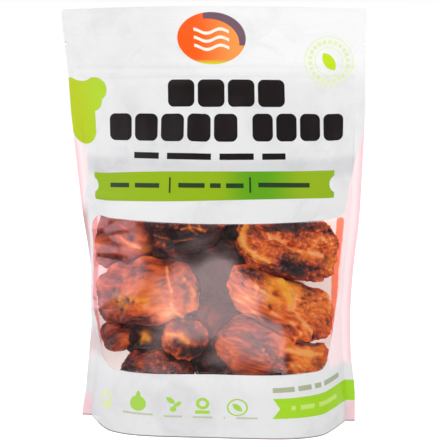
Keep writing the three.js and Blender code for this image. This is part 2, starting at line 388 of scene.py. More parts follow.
def pill(u, v, x, y, half_width, half_height, corner):
    across = (abs(u - x) - (half_width - corner)) | 0.0
    up = (abs(v - y) - (half_height - corner)) | 0.0
    return across * across + up * up < corner * corner


def circle_line(u, v, x, y, radius, width):
    return disc(u, v, x, y, radius + width / 2) & (1 - disc(u, v, x, y, radius - width / 2))


def leaf(u, v, x, y, length, width, turn):
    """A pointed leaf: where two discs overlap."""
    radius = (length**2 + width**2) / (4 * width)
    aside = radius - width / 2
    dx, dy = aside * math.cos(turn), aside * math.sin(turn)
    return disc(u, v, x + dx, y + dy, radius) & disc(u, v, x - dx, y - dy, radius)


def row_of_bars(u, v, y, half_height, start, widths, gap):
    """Plain bars of the given widths, side by side."""
    bars = None
    for width in widths:
        bar = abs(u - (start + width / 2)) < width / 2
        bars = bar if bars is None else bars | bar
        start += width + gap
    return bars & (abs(v - y) < half_height)


# Colours of the print

WHITE_FILM = srgb(235, 235, 235)
SHADED_PINK = srgb(186, 146, 147)
GREY_VEIN_AND_SHADE = srgb(176, 177, 181)
PALE_PINK = srgb(249, 226, 228)
SIDE_PINK = srgb(238, 190, 198)
PRINT_BLACK = srgb(22, 14, 15)
LIME = srgb(142, 174, 6)
DEEP_LIME = srgb(92, 160, 6)
BLOB_LIME = srgb(176, 194, 6)
PALE_LIME = srgb(214, 231, 140)
ORANGE_LEFT = srgb(242, 88, 0)
DARK_LIME = srgb(32, 58, 26)
ORANGE_RIGHT = srgb(240, 152, 74)


def film_ground(paint, u, v, uv):
    """The white of the film, with faint grey veins and clouds and pink side strips, and painted light and
    shade: lighter at the top from a little left of the middle, darker in a band between the ribbon and the
    bars above it, and darker towards the foot.
    """
    warp = paint.node("ShaderNodeTexNoise", {}, {"Vector": uv, "Scale": 2.2, "Detail": 2.0}, "Color")
    bent = paint.node("ShaderNodeVectorMath", {"operation": "MULTIPLY_ADD"}, [warp, (0.5, 0.5, 0.5), uv])
    line = 1 - abs(paint.noise(3.1, 2.0, bent, 0.5) - 0.5) * 2
    veins = (line - 0.94).between(0.0, 0.06) * paint.noise(1.9, 2.0, uv).between(0.45, 0.72)
    clouds = paint.noise(2.6, 5.0, bent, 0.6).between(0.42, 0.85)
    # Painted light and shade: lighter at the top from a little left of the middle, darker in a band between
    # the ribbon and the bars, and darker towards the foot
    light = v.between(264, 284) * u.between(-44, 0)
    painted_shade_bands = (1 - abs(v - 203.0).between(3.0, 11.0)) * 0.26 + (1 - v.between(30, 50)) * 0.12
    grey_and_shade = veins * 0.1 + clouds * 0.3 + (1 - light) * 0.2 + painted_shade_bands
    ground = paint.mix(grey_and_shade.clamped(), WHITE_FILM, GREY_VEIN_AND_SHADE)
    right = 13.0 * (1 - v.between(165, 242)) + 12.0 * (1 - v.between(156, 170))
    left = (4.0 + 6.0 * v.between(174, 200)) * (1 - v.between(214, 224)) + 4.0 * (1 - v.between(150, 172))
    wide = (u > 0) * right + (u < 0) * left
    strip = (abs(u) - FLAT_HALF + wide + 2.0 * paint.noise(3.0, 2.0, uv) - 1.0).between(-1.0, 1.5)
    strip = strip * (wide > 0.5) * v.between(44, 52) * (1 - (u < 0) * (v < 150) * 0.6)
    corner = (abs(u) - FLAT_HALF + 9.0).between(-3.0, 6.0) * (1 - v.between(10, 24))
    strong = (abs(u) - FLAT_HALF + 2.5).between(-2.0, 2.0) * 0.7
    # Painted shade: pinkish grey along the left weld beside the window's top, and a patch left of the
    # window's foot corner
    shade = (0.0 - u - FLAT_HALF + 5.0).between(-3.0, 2.0) * v.between(120, 134) * (1 - v.between(160, 174))
    painted_low_left_shade = (0.0 - u - FLAT_HALF + 26.0).between(-8.0, 6.0) * v.between(48, 58) * (1 - v.between(66, 80))
    ground = paint.mix(strip, ground, paint.mix(strong, PALE_PINK, SIDE_PINK))
    ground = paint.mix((u < 0) * (shade * 0.75 | painted_low_left_shade * 0.4), ground, SHADED_PINK)
    return paint.mix(corner * 0.8, ground, SIDE_PINK)


def draw_oval(paint, ground, u, v):
    """A plain orange oval with a lime foot, a grey rim at its upper right and three pale waves."""
    x, y, radius, tall = -1.6, 299.2, 26.3, 0.735
    oval = disc(u, v, x, y, radius, tall)
    orange = paint.mix(u.between(x - 16, x + 22), ORANGE_LEFT, ORANGE_RIGHT)
    foot = 1 - disc(u, v, x + 4, y + 8, radius, tall)
    orange = paint.mix(foot * v.between(284, 280), orange, srgb(205, 214, 30))
    rim = 1 - disc(u, v, x - 3.4, y - 3.6, radius - 1.6, tall)
    orange = paint.mix(rim & (v > 294) & (u > x - 6), orange, srgb(112, 84, 98))
    waves = None
    for level in (304.5, 298.5, 292.5):
        wave = abs(v - level - 1.6 * (u / 3.4).math("SINE")) < 1.15
        waves = wave if waves is None else waves | wave
    orange = paint.mix(waves & (abs(u - x) < 13.5), orange, srgb(255, 236, 222))
    return paint.mix(oval, ground, orange)


# Runs of rounded blocks: (left end, right end, how many, height of their middle)
BLOCK_RUNS = [(-37.4, 53.7, 4, 258.6), (-84.2, 16.8, 5, 233.4), (28.3, 99.2, 4, 233.6)]
BLOCK_GAP = 2.6


def draw_blocks(paint, ground, u, v):
    """Two rows of dark rounded blocks over one row of thin dark bars."""
    blocks = None
    for start, end, count, y in BLOCK_RUNS:
        width = (end - start + BLOCK_GAP) / count - BLOCK_GAP
        for k in range(count):
            shape = pill(u, v, start + width / 2 + k * (width + BLOCK_GAP), y, width / 2, 10.1, 4.6)
            blocks = shape if blocks is None else blocks | shape
    ink = blocks | row_of_bars(u, v, 212.6, 2.3, -64.0, (20, 34, 26, 18), 6.5)
    return paint.mix(ink, ground, PRINT_BLACK)


def draw_ribbon(paint, ground, u, v):
    """A green ribbon with bitten ends, two dividers and three rows of small bars."""
    arch = 2.8 - 2.8e-4 * u * u
    middle = 188.9 + 0.018 * u + arch
    band = (abs(v - middle) < 10.4 - 0.4 * (u / 30).math("SINE")) & (abs(u + 3.7) < 96.1)
    bites = disc(u, v, -102.8, 188.0, 6.2) | disc(u, v, 95.0, 191.0, 6.6)
    green = paint.mix(u.between(0, 27) * (1 - u.between(36, 70)), LIME, DEEP_LIME)
    v = v - arch
    marks = block(u, v, -34.6, 189.2, 0.7, 5.6) | block(u, v, 25.9, 189.8, 0.7, 5.6)
    marks = marks | row_of_bars(u, v, 188.8, 1.7, -85.0, (17, 20), 5.0)
    marks = marks | row_of_bars(u, v, 189.2, 1.7, -28.0, (20, 8, 13), 4.0)
    marks = marks | row_of_bars(u, v, 189.8, 1.7, 32.0, (40,), 0.0)
    green = paint.mix(marks, green, DARK_LIME)
    return paint.mix(band & (1 - bites), ground, green)


def draw_rings(paint, ground, u, v):
    """Two thin rings with a broken ring between them, round a plain leaf."""
    x, y = 88.5, 283.0
    rings = circle_line(u, v, x, y, 18.6, 0.7) | circle_line(u, v, x, y, 10.6, 0.6)
    angle = (v - y).math("ARCTAN2", u - x)
    broken = (angle * (11 / math.pi)).math("FRACT") < 0.62
    rings = rings | (circle_line(u, v, x, y, 14.7, 3.0) & broken)
    ground = paint.mix(rings * 0.75, ground, PALE_LIME)
    return paint.mix(leaf(u, v, x, y, 15.5, 8.4, math.radians(35)), ground, srgb(190, 220, 12))


def draw_blob(paint, ground, u, v):
    """A plain green shape at the left edge, wide and rounded at its head and round at its foot."""
    lobes = disc(u, v, -95.2, 261.8, 9.2) | block(u, v, -108.2, 250.5, 12.0, 20.3)
    lobes = lobes | disc(u, v, -105.9, 230.0, 9.8, 1.15) | disc(u, v, -99.6, 253.6, 9.4)
    lobes = lobes & (1 - disc(u, v, -105.5, 279.0, 11.0))
    green = paint.mix(u.between(-112, -88), BLOB_LIME, srgb(170, 205, 40))
    return paint.mix(lobes, ground, green)


def draw_foot_marks(paint, ground, u, v):
    """Five small green marks along the foot, each over a thin bar."""
    pale = circle_line(u, v, -86.0, 23.0, 5.6, 2.6) | disc(u, v, -82.5, 20.5, 3.0)
    marks = disc(u, v, -55.4, 27.0, 6.2) | leaf(u, v, -55.4, 33.6, 7.0, 3.6, 0.0)
    marks = marks | leaf(u, v, -31.5, 31.2, 8.0, 3.8, 0.9) | leaf(u, v, -26.6, 28.0, 7.0, 3.4, -0.9)
    marks = marks | disc(u, v, -29.6, 24.0, 2.3)
    marks = marks | circle_line(u, v, -8.8, 29.0, 3.6, 2.4) | block(u, v, -8.8, 21.8, 5.2, 1.5)
    marks = marks | circle_line(u, v, 15.8, 26.5, 6.8, 1.2) | leaf(u, v, 15.8, 26.5, 9.5, 4.4, 0.8)
    lines = row_of_bars(u, v, 18.6, 0.8, -67.0, (23,), 0.0)
    lines = lines | row_of_bars(u, v, 17.8, 0.8, -36.0, (13,), 0.0)
    lines = lines | row_of_bars(u, v, 17.4, 0.8, -15.5, (14, 1, 15), 8.0)
    ground = paint.mix(pale * 0.8, ground, PALE_LIME)
    ground = paint.mix(marks * 0.92, ground, srgb(156, 205, 24))
    return paint.mix(lines * 0.55, ground, srgb(150, 165, 90))


def draw_tag(paint, ground, u, v):
    """A green tag with a notched end that runs off the right edge, under a row of thin bars."""
    notch = (u - 40.8) < (8.2 - abs(v - 25.4)) * 0.62
    tag = (u > 40.8) & (abs(v - 25.4) < 8.3) & (1 - notch)
    marks = row_of_bars(u, v, 25.6, 1.8, 54.0, (3, 11, 19), 4.0)
    green = paint.mix(marks * 0.55, srgb(156, 207, 10), PALE_LIME)
    above = row_of_bars(u, v, 40.2, 1.9, 41.0, (16, 11, 6, 18), 3.0)
    ground = paint.mix(above * 0.75, ground, srgb(140, 152, 96))
    return paint.mix(tag, ground, green)


def film_paint(name):
    return Paint(name, IOR=1.38, Coat_Weight=0.06, Coat_Roughness=0.2)


def film_surface(paint, uv):
    """The satin skin of the film: soft crinkles that catch the light, and pressed welds."""
    u, v, _ = paint.flat_place()
    fine = paint.noise(9.0, 4.0, uv, 0.6)
    press = (abs(u) > PANEL_HALF) | (v > TOP_WELD)
    ribs = (v * 2.1).math("SINE") * (v > TOP_WELD) * 0.12
    height = fine * 0.8 + ribs - press * 0.15
    paint.bump(height, 0.22, 0.0012)
    paint.feed("Roughness", 0.34 + fine * 0.16)


def front_film():
    """The front: white film with the plain shapes of its print."""
    paint = film_paint("front film")
    u, v, uv = paint.flat_place()
    ground = film_ground(paint, u, v, uv)
    for draw in (draw_blob, draw_oval, draw_rings, draw_blocks, draw_ribbon, draw_foot_marks, draw_tag):
        ground = draw(paint, ground, u, v)
    # Painted shadow: a thin brownish line along the foot of the front, where it meets the floor
    painted_foot_shadow = v < 0.9
    ground = paint.mix(painted_foot_shadow, ground, srgb(150, 130, 118))
    paint.feed("Base Color", ground)
    film_surface(paint, uv)
    return paint.material


def back_film():
    """The back: the same film with a ribbon and a plain ruled panel."""
    paint = film_paint("back film")
    u, v, uv = paint.flat_place()
    ground = film_ground(paint, u, v, uv)
    panel = pill(u, v, 0.0, 120.0, 70.0, 52.0, 6.0) & (1 - pill(u, v, 0.0, 120.0, 69.2, 51.2, 5.2))
    rules = ((v / 8.0).math("FRACT") < 0.09) & block(u, v, 0.0, 120.0, 62.0, 44.0)
    ground = paint.mix((panel | rules) * 0.7, ground, srgb(170, 172, 176))
    ribbon = (abs(v - 205.0) < 9.0) & (abs(u) < 84.0)
    ground = paint.mix(ribbon, ground, LIME)
    ground = paint.mix(row_of_bars(u, v, 205.0, 1.7, -60.0, (24, 30, 18, 26), 7.0), ground, DARK_LIME)
    paint.feed("Base Color", ground)
    film_surface(paint, uv)
    return paint.material


def gusset_film():
    """The underside: white film without a print."""
    paint = film_paint("gusset film")
    _, _, uv = paint.flat_place()
    cloud = paint.noise(2.6, 4.0, uv)
    paint.feed("Base Color", paint.mix(cloud * 0.3, WHITE_FILM, GREY_VEIN_AND_SHADE))
    film_surface(paint, uv)
    return paint.material


def inside_film():
    """The inner face: warm white, with the side strips showing through as coral, and a dark patch of painted
    shade in its middle, behind the fish.

    Its faint glow is the light that comes through the film from outside.
    """
    paint = Paint("inner film", Roughness=0.45, IOR=1.5, Emission_Strength=0.8)
    u, v, uv = paint.flat_place()
    cloud = paint.noise(2.4, 3.0, uv)
    ground = paint.mix(cloud, srgb(238, 231, 228), srgb(216, 209, 206))
    from_edge = PANEL_HALF - abs(u) - cloud
    coral = (1 - from_edge.between(11.4, 12.6)) * from_edge.between(4.2, 5.2)
    coral = coral * (u > 0) + (u < 0) * (1 - from_edge.between(5.4, 6.6))
    pale = (u > 0) * (1 - from_edge.between(4.2, 5.2))
    ground = paint.mix(pale, ground, srgb(250, 216, 208))
    stripe = paint.mix(u > 0, srgb(214, 146, 149), srgb(238, 132, 104))
    ground = paint.mix(coral * (1 - v.between(225, 250)), ground, stripe)
    # Painted shade: a dark patch in the middle of the inner film, behind the fish
    painted_shade_behind_fish = (1 - abs(u).between(56, 74)) * v.between(30, 38) * (1 - v.between(158, 172))
    ground = paint.mix(painted_shade_behind_fish, ground, srgb(54, 30, 28))
    paint.feed("Base Color", ground)
    paint.feed("Emission Color", ground)
    return paint.material


FILM_MIRROR = 0.06  # the share of light that the window mirrors when it is seen straight on


def window_film_material():
    """Clear film: what is behind it shows through, and it mirrors the studio."""
    paint = Paint("window film")
    facing = paint.node("ShaderNodeLayerWeight", {}, {"Blend": 0.5}, "Facing")
    mirror = paint.node("ShaderNodeBsdfGlossy", {}, {"Color": (1.0, 0.74, 0.76, 1), "Roughness": 0.11})
    clear = paint.node("ShaderNodeBsdfTransparent", {}, {"Color": (0.985, 0.98, 0.975, 1)})
    share = FILM_MIRROR + (1 - FILM_MIRROR) * facing ** 5.0
    mixed = paint.node("ShaderNodeMixShader", {}, [share, clear, mirror])
    output = next(n for n in paint.tree.nodes if n.type == "OUTPUT_MATERIAL")
    paint.plug(output.inputs["Surface"], mixed)
    paint.tree.nodes.remove(paint.shader)
    return paint.material


# The flesh's colours, from its darkest to its lightest; its dark end also serves as painted shade and its
# light end as painted light
TOAST_AND_SHADE_STOPS = [
    (0.0, (0.016, 0.009, 0.011)), (0.16, (0.085, 0.018, 0.016)), (0.34, (0.29, 0.036, 0.014)),
    (0.54, (0.66, 0.098, 0.013)), (0.76, (0.93, 0.20, 0.022)), (1.0, (0.98, 0.46, 0.18)),
]


def fish_flesh():
    """Dried, oily fish: red-brown to orange on the flanks, gold in places, with painted light and shade:
    brown-black in the folds and pits, lighter and gold on its ridges.
    """
    paint = Paint("dried fish", IOR=1.36, Coat_Weight=0.18, Coat_Roughness=0.16, Subsurface_Weight=0.06,
                  Subsurface_Scale=0.003)
    toast, gold = paint.attribute("toast"), paint.attribute("gold")
    blotch = paint.noise(90.0, 4.0)
    grain = paint.noise(420.0, 4.0, None, 0.7)
    level = toast + (blotch - 0.5) * 0.34 + (grain - 0.5) * 0.22
    colour = paint.node("ShaderNodeValToRGB", {"stops": TOAST_AND_SHADE_STOPS}, [level.clamped()])
    colour = paint.mix((gold + (grain - 0.5) * 0.5 * gold).clamped(), colour, (0.98, 0.41, 0.010))
    specks = (paint.noise(520.0, 2.0) > 0.68) * (toast < 0.7) * 0.3
    paint.feed("Base Color", paint.mix(specks, colour, (0.035, 0.012, 0.010)))
    paint.feed("Roughness", 0.30 + blotch * 0.25)
    paint.bump(grain + blotch * 0.5, 0.35, 0.0006)
    return paint.material


# Film meshes

def window_outline():
    """The window's outline as points (x, height) seen from the front, anticlockwise."""
    foot_left, waist_left, top_left = WINDOW_LEFT
    foot_right, waist_right, top_right = WINDOW_RIGHT
    (low_left, low_right), high = WINDOW_FOOT, WINDOW_HIGH
    round_low, (round_left, round_right) = WINDOW_ROUND_LOW, WINDOW_ROUND_HIGH

    def curve(a, b, c, steps):
        def point(t):
            return tuple((1 - t) ** 2 * p + 2 * t * (1 - t) * q + t * t * r for p, q, r in zip(a, b, c))
        return [point(i / steps) for i in range(steps + 1)]

    def line(a, b, steps):
        return [tuple(p + (q - p) * i / steps for p, q in zip(a, b)) for i in range(1, steps)]

    foot = [(foot_left + round_low, low_left), (foot_right - round_low, low_right)]
    right = [(foot_right + 1, low_right + round_low), (waist_right, WINDOW_WAIST)]
    right.append((top_right, high - round_right))
    top = [(top_right - round_right, high), (top_left + round_left, high)]
    left = [(top_left, high - round_left), (waist_left, WINDOW_WAIST), (foot_left - 1, low_left + round_low)]
    pull = ((foot_left + foot_right) / 2, (low_left + low_right) / 2 + 2 * WINDOW_ARCH)
    points = curve(foot[0], pull, foot[1], 14)[1:-1]
    points += curve(foot[1], (foot_right, low_right), right[0], 6)
    points += line(right[0], right[1], 3) + [right[1]] + line(right[1], right[2], 5)
    points += curve(right[2], (top_right, high), top[0], 3)
    points += line(top[0], top[1], 14)
    points += curve(top[1], (top_left, high), left[0], 6)
    points += line(left[0], left[1], 5) + [left[1]] + line(left[1], left[2], 3)
    points += curve(left[2], (foot_left, low_left), foot[0], 6)
    return points


def inside_outline(x, y, outline):
    """Whether a point lies inside a closed outline."""
    within = False
    for (ax, ay), (bx, by) in zip(outline, outline[1:] + outline[:1]):
        if (ay > y) != (by > y) and x < ax + (bx - ax) * (y - ay) / (by - ay):
            within = not within
    return within


def cut(bm, faces, point, normal):
    """Splits the faces where a plane crosses them."""
    geometry = set(faces)
    for face in faces:
        geometry.update(face.edges)
        geometry.update(face.verts)
    bmesh.ops.bisect_plane(bm, geom=list(geometry), dist=1e-3, plane_co=point, plane_no=normal)


def cut_notch(bm, seam, side):
    """Cuts the two edges of a tear notch, on one side of a seam of the flat film."""
    tip = (seam - side * NOTCH_DEEP, NOTCH_UP, 0)
    for end in (-1, 1):
        near = []
        for face in bm.faces:
            centre = face.calc_center_median()
            if abs(centre.x - seam) < 2 * NOTCH_DEEP and abs(centre.y - NOTCH_UP) < 2 * NOTCH_TALL:
                near.append(face)
        cut(bm, near, tip, (-end * side * NOTCH_TALL / 2, NOTCH_DEEP, 0))


def in_notch(face):
    centre = face.calc_center_median()
    from_seam = min(abs(centre.x - seam) for seam in SEAMS)
    return abs(centre.y - NOTCH_UP) < NOTCH_TALL / 2 * (1 - from_seam / NOTCH_DEEP)


FRONT_FACE, BACK_FACE, INNER_OFFSET, WINDOW_FACE = 0, 1, 2, 9


def flat_grid():
    """Even faces over the whole flat film, with extra rows and columns where it bends sharply."""
    bm = bmesh.new()
    columns, rows = round(4 * FLAT_HALF / COLUMN), round(HEIGHT / COLUMN)
    size = Matrix.Diagonal((2 * FLAT_HALF, HEIGHT / 2, 1, 1))
    place = Matrix.Translation((FLAT_HALF, HEIGHT / 2, 0)) @ size
    bmesh.ops.create_grid(bm, x_segments=columns, y_segments=rows, size=1, matrix=place)
    levels = [track + step for track in ZIPPER_TRACKS for step in (-1, 0, 1)]
    for level in levels + [TOP_WELD - 1.2, TOP_WELD, TOP_WELD + 0.6]:
        cut(bm, bm.faces, (0, level, 0), (0, 1, 0))
    for seam in SEAMS:
        for side in (-SEAL, SEAL):
            for step in (-0.5, 0.8):
                if SEAMS[0] < seam + side < SEAMS[-1]:
                    cut(bm, bm.faces, (seam + side + step * math.copysign(1, side), 0, 0), (1, 0, 0))
    cut(bm, bm.faces, (FLAT_HALF, 0, 0), (1, 0, 0))
    return bm


def cut_window(bm, outline):
    for (ax, ay), (bx, by) in zip(outline, outline[1:] + outline[:1]):
        near = []
        for face in bm.faces:
            xs = [v.co.x for v in face.verts]
            if max(xs) < min(ax, bx) - MARGIN or min(xs) > max(ax, bx) + MARGIN:
                continue
            ys = [v.co.y for v in face.verts]
            if max(ys) >= min(ay, by) - MARGIN and min(ys) <= max(ay, by) + MARGIN:
                near.append(face)
        cut(bm, near, (ax, ay, 0), (ay - by, bx - ax, 0))


def lay_print(bm, outline):
    """Gives each face its kind of film, and its place on the flat film as a UV map."""
    uv = bm.loops.layers.uv.new("print")
    for face in bm.faces:
        centre = face.calc_center_median()
        back = centre.x > FLAT_HALF
        face.material_index = BACK_FACE if back else FRONT_FACE
        if not back and inside_outline(centre.x, centre.y, outline):
            face.material_index = WINDOW_FACE
        face.smooth = True
        for loop in face.loops:
            across = 2 * FLAT_HALF - loop.vert.co.x if back else loop.vert.co.x
            loop[uv].uv = (across / UV_UNIT, loop.vert.co.y / UV_UNIT)


def wrap(bm):
    """Turns the flat film into the filled pouch, with its relief."""
    flat = {v: v.co.copy() for v in bm.verts}
    for v in bm.verts:
        v.co = wrapped(flat[v].x, flat[v].y)
    bm.normal_update()
    for v in bm.verts:
        along_film, up = flat[v].x, flat[v].y
        side = 1 if along_film > FLAT_HALF else -1
        across = 2 * FLAT_HALF - along_film if side > 0 else along_film
        from_middle = abs(v.co.y - wave(across, up))
        v.co += v.normal * max(film_relief(across, up, side), -DENT_SHARE * from_middle)
    bmesh.ops.remove_doubles(bm, verts=bm.verts, dist=MERGE)


def film_sheet():
    """The whole film, cut flat and wrapped round. Its window faces are marked for splitting off."""
    bm = flat_grid()
    outline = [(flat_of(x, height), height) for x, height in window_outline()]
    cut_window(bm, outline)
    for seam in SEAMS:
        for side in (-1, 1):
            if SEAMS[0] <= seam - side * NOTCH_DEEP <= SEAMS[-1]:
                cut_notch(bm, seam, side)
    bmesh.ops.delete(bm, geom=[face for face in bm.faces if in_notch(face)], context="FACES")
    lay_print(bm, outline)
    wrap(bm)
    for edge in bm.edges:
        if len({face.material_index == BACK_FACE for face in edge.link_faces}) == 2:
            edge.smooth = False
    return bm


def keep_faces(bm, wanted):
    drop = [face for face in bm.faces if not wanted(face)]
    bmesh.ops.delete(bm, geom=drop, context="FACES")


def as_object(name, bm, materials):
    """A finished mesh in metres as an object at the origin."""
    bmesh.ops.scale(bm, vec=(MM, MM, MM), verts=bm.verts)
    mesh = bpy.data.meshes.new(name)
    bm.to_mesh(mesh)
    bm.free()
    for material in materials:
        mesh.materials.append(material)
    made = bpy.data.objects.new(name, mesh)
    bpy.context.scene.collection.objects.link(made)
    return made


def thicken(piece, thickness, inner_offset=0):
    """Makes a sheet as thick as its film, inwards."""
    solid = piece.modifiers.new("thickness", "SOLIDIFY")
    solid.thickness = thickness * MM
    solid.offset = -1
    solid.material_offset = inner_offset


def make_film():
    """The printed film and the clear window, parted from one sheet."""
    sheet = film_sheet()
    clear = sheet.copy()
    keep_faces(clear, lambda face: face.material_index == WINDOW_FACE)
    keep_faces(sheet, lambda face: face.material_index != WINDOW_FACE)
    for face in clear.faces:
        face.material_index = 0
    inner = inside_film()
    film = as_object("pouch_film", sheet, [front_film(), back_film(), inner, inner])
    thicken(film, FILM, INNER_OFFSET)
    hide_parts("pouch")
    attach(film, "root")
    window = as_object("window_film", clear, [window_film_material()])
    thicken(window, FILM)
    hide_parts("window")
    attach(window, "root")


# The gusset's arch under the pouch
GUSSET_REACH = 0.992  # the share of the pouch's width that it takes up
SKIRT = 3.0
ARCH_MIDDLE, ARCH_SIDE = 4.0, 13.0


def make_gusset():
    """The folded film of the bottom: down inside the rim, and arched between front and back."""
    bm = bmesh.new()
    bmesh.ops.create_grid(bm, x_segments=110, y_segments=48, size=1)
    uv = bm.loops.layers.uv.new("print")
    for face in bm.faces:
        face.smooth = True
        for loop in face.loops:
            loop[uv].uv = (loop.vert.co.x * FLAT_HALF / UV_UNIT, 2.4 + loop.vert.co.y * 0.4)
    for v in bm.verts:
        share = math.sin(v.co.x * math.pi / 2) * GUSSET_REACH
        end = math.copysign(1, share)
        depth = v.co.y
        lift = corner_lift(share)
        inset = WELD + bulge(share, lift) - 2 * FILM
        towards_side = abs(share)
        rise = ARCH_MIDDLE + (ARCH_SIDE - ARCH_MIDDLE) * smoothstep(0.1, 0.85, towards_side)
        rise *= 1 - smoothstep(0.9, 1.0, towards_side)
        skirt = SKIRT * smoothstep(0.0, 0.05, 1 - abs(depth)) * (1 - smoothstep(0.9, 1.0, towards_side))
        arch = (1 - abs(depth) ** 3) * rise
        crinkle = 0.5 * noise.noise(Vector((share * 14, depth * 6, 0.4))) * (1 - depth**2)
        x = along(LEAN, 0) + end * inner_half_width(end, 0) * abs(share)
        v.co = Vector((x, depth * inset, lift + 0.15 + skirt + arch + crinkle * rise / ARCH_SIDE))
    bmesh.ops.reverse_faces(bm, faces=bm.faces)
    gusset = as_object("pouch_gusset", bm, [gusset_film()])
    thicken(gusset, FILM)
    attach(gusset, "root")


# Fish pieces. Places are (x, height) in millimetres, seen from the front.

def fish_look(turn, toast, torn, fibre, crumb, patches=(), ridges=(), pits=()):
    """How a piece looks.

    turn is the slope of its grain in degrees, toast how light it is, torn how much of its skin is
    off, fibre how streaky it is, and crumb the size of its crumbs. Patches are (x, height, half
    width, half height, toast and shade added, gold and highlight added) and paint light and shade as
    well as colour, ridges are lines with (width, height, gold and highlight) and are painted lighter as
    painted highlights, and pits are (x, height, radius, depth) and are painted darker as painted shade.
    """
    return dict(turn=turn, toast=toast, torn=torn, fibre=fibre, crumb=crumb,
                patches=patches, ridges=ridges, pits=pits)


